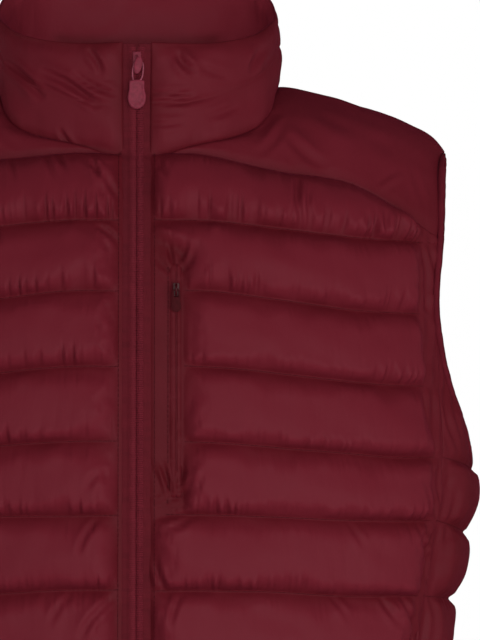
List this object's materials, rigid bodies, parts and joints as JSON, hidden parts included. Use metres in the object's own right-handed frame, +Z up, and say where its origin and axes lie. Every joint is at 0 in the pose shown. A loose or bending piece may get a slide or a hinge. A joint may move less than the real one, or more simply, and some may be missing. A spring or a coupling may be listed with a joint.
{
  "type": "puffer vest",
  "caption": "Quilted puffer vest in its worn, hollow shape, zipped shut, with a stand collar, bound armholes and an upright chest pocket zip.",
  "frame": {"origin": "between the shoulders, midway between the two sides of the neck, where the shoulders carry the vest", "axes": "+Z up, the wearer faces -Y, and the wearer's left is +X"},
  "size_m": [0.4778, 0.2592, 0.7365],
  "materials": {
    "shell_cloth": "smooth woven nylon with a soft sheen",
    "binding_cloth": "matte stretch binding",
    "zip_tape": "matte woven tape",
    "zip_teeth": "satin moulded coil",
    "zip_metal": "satin paint",
    "pocket_metal": "satin paint"
  },
  "bodies": {
    "vest": {"front_left": "shell_cloth", "front_right": "shell_cloth", "side_left": "shell_cloth", "side_right": "shell_cloth", "back": "shell_cloth", "yoke_left": "shell_cloth", "yoke_right": "shell_cloth", "collar": "shell_cloth", "armhole_binding_left": "binding_cloth", "armhole_binding_right": "binding_cloth", "hem_binding": "binding_cloth", "zip_tape_left": "zip_tape", "zip_tape_right": "zip_tape", "zip_chain": "zip_teeth", "pocket_zip": "zip_teeth", "zip_box": "zip_metal", "zip_slider": "zip_metal", "pocket_slider": "pocket_metal"},
    "zip_pull": {"zip_pull": "zip_metal"},
    "pocket_pull": {"pocket_pull": "pocket_metal"}
  },
  "joints": [
    {"name": "zip_pull_swing", "type": "hinge", "parent": "vest", "child": "zip_pull", "pos_m": [0, -0.09793, 0.0064], "axis": [-1, 0, 0], "range_deg": [0, 150]},
    {"name": "pocket_pull_swing", "type": "hinge", "parent": "vest", "child": "pocket_pull", "pos_m": [0.0264, -0.12362, -0.15], "axis": [-1, 0, 0], "range_deg": [0, 150]}
  ]
}
